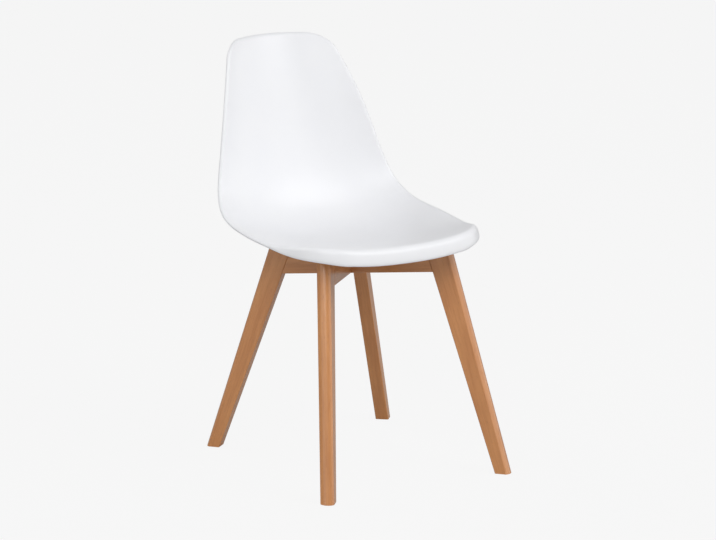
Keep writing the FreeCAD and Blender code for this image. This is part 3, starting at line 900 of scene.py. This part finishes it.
    def side_lines(self, rows: Array) -> MeshLines:
        """Mesh lines across the right side's edge zone.

        Args:
            rows: Distances of the lines' inner ends along the middle line.

        Returns:
            The lines, one per row.
        """
        at_top = rows > self.length / 2
        end = np.where(at_top, self.length - rows, rows)
        corner = np.where(at_top, self.top_corner, self.front_corner)
        margin = np.where(at_top, self.top_margin, self.front_margin)
        along, off = self.outline_station(end - margin, corner, margin)
        share = (rows - self.front_margin) / (self.length - self.top_margin - self.front_margin)
        zone = self.front_margin + (self.top_margin - self.front_margin) * smooth_step(share)
        return MeshLines(self.width_near(along, at_top) - off, along,
                         self.half_width(rows) - zone, end, at_top)

    def end_lines(self, shares: Array, at_top: bool) -> MeshLines:
        """Mesh lines across the right half of the front's or the top's edge zone.

        Args:
            shares: Places of the lines' inner ends, from the inner field's corner to the middle.
            at_top: Whether it is the top's.

        Returns:
            The lines, from the corner to the middle.
        """
        corner = self.top_corner if at_top else self.front_corner
        margin = self.top_margin if at_top else self.front_margin
        top = np.full(shares.shape, at_top)
        inner_end = np.full(shares.shape, margin)
        nominal = self.width_near(inner_end, top)
        at_edge = self.width_near(np.zeros(shares.shape), top)
        inner = (nominal - margin) * shares
        along, off = self.outline_station(inner, corner, margin)
        outer = self.width_near(off, top) - along + (nominal - at_edge) * smooth_step(shares)
        return MeshLines(outer, off, nominal - margin - inner, inner_end, top)

    def patches(self) -> list[tuple[Array, bool]]:
        """The right half of the bare shell as grids of points that meet on their borders.

        Returns:
            Each grid with whether its faces are to be turned over.
        """
        field_length = self.length - self.front_margin - self.top_margin
        rows = self.front_margin + field_length * eased_shares(self.lines_along)
        shares = np.linspace(0, 1, self.lines_across) ** self.field_spread
        edge = np.linspace(0, 1, self.lines_in_edge) ** self.edge_spread
        side = self.side_lines(rows)
        turn = np.linspace(0, np.pi, self.lines_round_rim + 1)
        made = []
        front, top = self.end_lines(shares, False), self.end_lines(shares, True)
        for depth, turned in ((0.0, True), (self.wall, False)):
            across = side.inner_across[:, None] * (1 - shares)
            end = np.broadcast_to(side.inner_end[:, None], across.shape)
            at_top = np.broadcast_to(side.at_top[:, None], across.shape)
            made.append((self.point(across, end, at_top, depth), turned))
            for lines, flip in ((side, turned), (front, not turned), (top, turned)):
                made.append((self.point(*lines.between(self.rim_round, edge), depth), flip))
        inward = self.rim_round * (1 - np.sin(turn))
        depth = self.wall / 2 * (1 - np.cos(turn))
        for lines, turned in ((side, False), (front, True), (top, False)):
            made.append((self.point(*lines.between(inward, np.zeros(turn.shape)), depth), turned))
        return made

    def plate(self) -> tuple[Array, Array]:
        """The bare shell, both halves joined into one skin.

        Returns:
            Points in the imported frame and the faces' corners.
        """
        points, faces, count = [], [], 0
        for grid, turned in self.patches():
            rows, columns = grid.shape[:2]
            for side, flip in ((1.0, turned), (-1.0, not turned)):
                points.append(grid.reshape(-1, 3) * np.array([side, 1.0, 1.0]))
                faces.append(grid_faces(rows, columns, count, flip=flip))
                count += rows * columns
        points, faces = np.concatenate(points), np.concatenate(faces)
        places = np.round(points, SAME_PLACE) + 0.0
        _, first, index = np.unique(places, axis=0, return_index=True, return_inverse=True)
        return points[first], index.ravel()[faces]

    def under_wall(self, x: Array, y: Array) -> Array:
        """Height of the middle of the wall over places under the seat.

        Args:
            x: Distances from the middle plane.
            y: Places from front to back.

        Returns:
            Heights in millimetres.
        """
        run = y - np.interp(0.0, self.runs, self.middle_y)
        inward, lip = np.full(x.shape, self.ceiling_inward), np.full(x.shape, self.side_lip)
        for _ in range(self.ceiling_rounds):
            here = self.surface(x, run, inward, lip)
            run = run + (y - here[..., 1])
        return here[..., 2] - self.boss_skin

    def up_to_wall(self, points: Array, arm: Arm) -> Array:
        """Carries points from an arm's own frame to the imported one, and cuts them off in the wall.

        Args:
            points: Grid of points in the arm's frame.
            arm: The arm.

        Returns:
            One row per point.
        """
        placed = self.timber.to_chair(points.reshape(-1, 3), arm)
        placed[:, 2] = np.minimum(placed[:, 2], self.under_wall(placed[:, 0], placed[:, 1]))
        return placed

    def post(self, reach: float) -> Array:
        """Profile of a boss turned about its bolt: a small round, then a slight draft.

        Args:
            reach: Distance of the bolt from the crossing.

        Returns:
            Grid of points in the arm's frame, one row per ring.
        """
        turn = np.linspace(0, 2 * np.pi, self.boss_sides, endpoint=False)
        share = np.linspace(0, 1, self.boss_rows)
        wide, corner, middle = self.boss_radius, self.boss_round, self.boss_round_middle
        radius = np.concatenate([[0.0, wide - corner, wide - middle, wide], wide + self.boss_draft * share])
        height = np.concatenate([[0.0, 0.0, middle, corner], corner + share * (self.above_rails - corner)])
        return np.stack([reach + radius[:, None] * np.cos(turn), radius[:, None] * np.sin(turn),
                         self.timber.rail_height + height[:, None] + 0 * turn], axis=-1)

    def rib(self, reach: float, angle: float) -> Array:
        """Gusset: a thin section with bevelled lower edges, carried outward as its underside rises.

        Args:
            reach: Distance of the bolt from the crossing.
            angle: The gusset's direction in radians from the rail.

        Returns:
            Grid of points in the arm's frame, one row per place along the gusset.
        """
        half, bevel = self.gusset / 2, self.gusset_bevel
        section = ((-half, True, 0.0), (-half, False, bevel), (bevel - half, False, 0.0),
                   (half - bevel, False, 0.0), (half, False, bevel), (half, True, 0.0))
        out = np.linspace(self.boss_radius - self.gusset_root, self.boss_radius + self.gusset_reach,
                          self.gusset_rows)
        lift = np.clip((out - self.boss_radius) / self.gusset_reach, 0, 1) * self.gusset_reach / 2
        loops = []
        for sideways, upper, up in section:
            level = self.timber.rail_height + self.gusset_clearance + lift + up
            level += self.above_rails * self.gusset_overrun if upper else 0.0
            loops.append(np.stack([reach + out * math.cos(angle) - sideways * math.sin(angle),
                                   out * math.sin(angle) + sideways * math.cos(angle), level], axis=-1))
        return np.stack(loops, axis=1)

    def boss(self, arm: Arm) -> tuple[Array, list[Array]]:
        """Boss with four gussets on one arm, cut off in the middle of the wall.

        Args:
            arm: The arm whose rail carries it.

        Returns:
            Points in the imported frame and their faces.
        """
        reach = self.timber.bolt_reach[0 if arm.end < 0 else 1]
        post = self.post(reach)
        points, faces = [self.up_to_wall(post, arm)], [grid_faces(*post.shape[:2], 0, close=True)]
        count = len(points[0])
        for angle in self.gusset_angles:
            rib = self.rib(reach, math.radians(angle))
            rows, corners = rib.shape[:2]
            points.append(self.up_to_wall(rib, arm))
            faces.append(grid_faces(rows, corners, count, close=True, flip=True))
            count += rows * corners
            faces.append(np.arange(count - corners, count)[None])
        return np.concatenate(points), faces

    def build(self, material: Material) -> Object:
        """Makes the shell with its bosses.

        Args:
            material: The shell's plastic.

        Returns:
            The piece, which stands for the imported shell.
        """
        skin, skin_faces = self.plate()
        points, faces, count = [skin], [skin_faces], len(skin)
        for arm in Arm:
            boss_points, boss_faces = self.boss(arm)
            points.append(boss_points)
            faces += [group + count for group in boss_faces]
            count += len(boss_points)
        shell = make_piece("seat_shell_moulding", np.concatenate(points), faces, SHELL_CREASE)
        shell.data.materials.append(material)
        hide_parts("seat_shell")
        return shell


@dataclass
class Fixings:
    """Screw, bolts, washers, inserts, dowels and glides, as packed."""

    slots: dict[str, str] = field(default_factory=lambda: {
        "lap_screw": "zinc_steel", "seat_bolts": "zinc_steel", "bolt_washers": "zinc_steel",
        "threaded_inserts": "insert_brass", "foot_glides": "glide_plastic", "leg_dowels": "dowel_beech"})

    def build(self, finishes: dict[str, Material]) -> list[Object]:
        """Copies and dresses the fixings.

        Args:
            finishes: Materials by slot.

        Returns:
            The pieces.
        """
        made = []
        for node, slot in self.slots.items():
            piece = merged_copy(node, node + "_dressed")
            piece.data.materials.append(finishes[slot])
            made.append(piece)
        return made


# ---------------------------------------------------------------------------
# Camera, floor and light


@dataclass(frozen=True)
class Lamp:
    """A soft square lamp that faces the chair: its direction in degrees, its power in watts."""

    name: str
    azimuth: float
    elevation: float
    energy: float
    distance: float = 4.0
    size: float = 2.2


@dataclass
class Studio:
    """A plain pale studio in metres, with the camera where the photograph was taken."""

    azimuth: float = -30.66
    elevation: float = 13.44
    distance: float = 6.7557
    lens: float = 170.04
    target: tuple[float, float, float] = (0.02054, -0.0265, 0.38267)
    pale: float = 0.93
    floor_share: float = 0.03
    sky: float = 0.32
    floor_size: float = 60.0
    floor_tone: float = 0.45
    lamp_target: tuple[float, float, float] = (0.0, 0.0, 0.45)
    lamps: tuple[Lamp, ...] = (
        Lamp("front_left", -40.0, 35.0, 55.0),
        Lamp("left_low", -75.0, 10.0, 13.0),
        Lamp("front_low", 35.0, 10.0, 17.0),
        Lamp("front_high", 35.0, 45.0, 53.0),
        Lamp("right_low", 75.0, 10.0, 19.0),
        Lamp("behind_left", -150.0, 40.0, 31.0),
    )

    @staticmethod
    def back(azimuth: float, elevation: float) -> Vector:
        """Unit vector from the target towards a viewer at two angles in degrees."""
        a, e = math.radians(azimuth), math.radians(elevation)
        return Vector((math.sin(a) * math.cos(e), -math.cos(a) * math.cos(e), math.sin(e)))

    @staticmethod
    def aim(place: Vector, at: Vector) -> Matrix:
        """Matrix of a camera or lamp at a place that looks at a point."""
        return Matrix.Translation(place) @ (place - at).to_track_quat("Z", "Y").to_matrix().to_4x4()

    def camera(self) -> None:
        """Makes the camera and hands it to the scene."""
        data = bpy.data.cameras.new("camera")
        data.lens = self.lens
        data.sensor_width = 36.0
        data.clip_end = 200.0
        camera = in_scene("camera", data)
        at = Vector(self.target)
        camera.matrix_world = self.aim(at + self.back(self.azimuth, self.elevation) * self.distance, at)
        bpy.context.scene.camera = camera

    def light(self, lamp: Lamp) -> None:
        """Puts up one lamp.

        Args:
            lamp: The lamp's direction, power, distance and size.
        """
        data = bpy.data.lights.new(lamp.name, "AREA")
        data.shape = "SQUARE"
        data.size = lamp.size
        data.energy = lamp.energy
        at = Vector(self.lamp_target)
        direction = self.back(lamp.azimuth, lamp.elevation)
        in_scene(lamp.name, data).matrix_world = self.aim(at + direction * lamp.distance, at)

    @staticmethod
    def pale_to_lens(net: Net) -> Socket:
        """One where the camera or a clear piece looks, nought for other rays."""
        path = net.node("ShaderNodeLightPath")
        return net.sums("MAXIMUM", path.outputs["Is Camera Ray"], path.outputs["Is Transmission Ray"])

    def floor(self) -> None:
        """Makes the floor, whose own pale colour carries only a faint shadow."""
        half = self.floor_size / 2
        mesh = bpy.data.meshes.new("floor")
        corners = [(-half, -half, 0), (half, -half, 0), (half, half, 0), (-half, half, 0)]
        mesh.from_pydata(corners, [], [(0, 1, 2, 3)])
        floor = in_scene("floor", mesh)
        material = bpy.data.materials.new("pale_floor")
        net = emptied(material)
        matt = net.grey("ShaderNodeBsdfDiffuse", self.floor_tone)
        faint = net.grey("ShaderNodeBsdfDiffuse", self.pale * self.floor_share)
        glow = net.grey("ShaderNodeEmission", self.pale * (1 - self.floor_share))
        both = net.feed(net.node("ShaderNodeAddShader"), faint, glow)
        above = net.choose(self.pale_to_lens(net), matt, both)
        from_below = net.node("ShaderNodeNewGeometry").outputs["Backfacing"]
        clear = net.node("ShaderNodeBsdfTransparent").outputs[0]
        surface = net.choose(from_below, above, clear)
        net.link(surface, net.node("ShaderNodeOutputMaterial").inputs["Surface"])
        floor.data.materials.append(material)

    def world(self) -> None:
        """Makes an even pale sky, brighter to the lens than to the object."""
        world = bpy.data.worlds.new("studio")
        bpy.context.scene.world = world
        net = emptied(world)
        even, seen = (net.grey("ShaderNodeBackground", tone) for tone in (self.sky, self.pale))
        surface = net.choose(self.pale_to_lens(net), even, seen)
        net.link(surface, net.node("ShaderNodeOutputWorld").inputs["Surface"])

    def build(self) -> None:
        """Sets up the camera, floor, sky and lamps."""
        self.camera()
        self.floor()
        self.world()
        for lamp in self.lamps:
            self.light(lamp)
        bpy.context.scene.view_settings.view_transform = "Standard"


def main() -> None:
    """Builds the chair and its studio."""
    logging.basicConfig(level=logging.INFO, format="%(name)s: %(message)s")
    figure = beech_figure_group()
    mottle = fine_mottle_group()
    finishes = {
        "shell_plastic": SHELL_FINISH.make("shell_plastic", mottle),
        "zinc_steel": ZINC_FINISH.make("zinc_steel", mottle),
        "insert_brass": BRASS_FINISH.make("insert_brass", mottle),
        "glide_plastic": GLIDE_FINISH.make("glide_plastic", mottle),
        "dowel_beech": RAW_BEECH_FINISH.make("dowel_beech", figure, Matrix.Identity(3), Vector((0, 0, 0))),
    }
    timber = CrossedFrame()
    pieces = timber.build(figure)
    pieces.append(MouldedShell(timber).build(finishes["shell_plastic"]))
    pieces += Fixings().build(finishes)
    for piece in pieces:
        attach(piece, BODY)
        log.info("%s: %d faces", piece.name, len(piece.data.polygons))
    Studio().build()


if __name__ == "__main__":
    main()
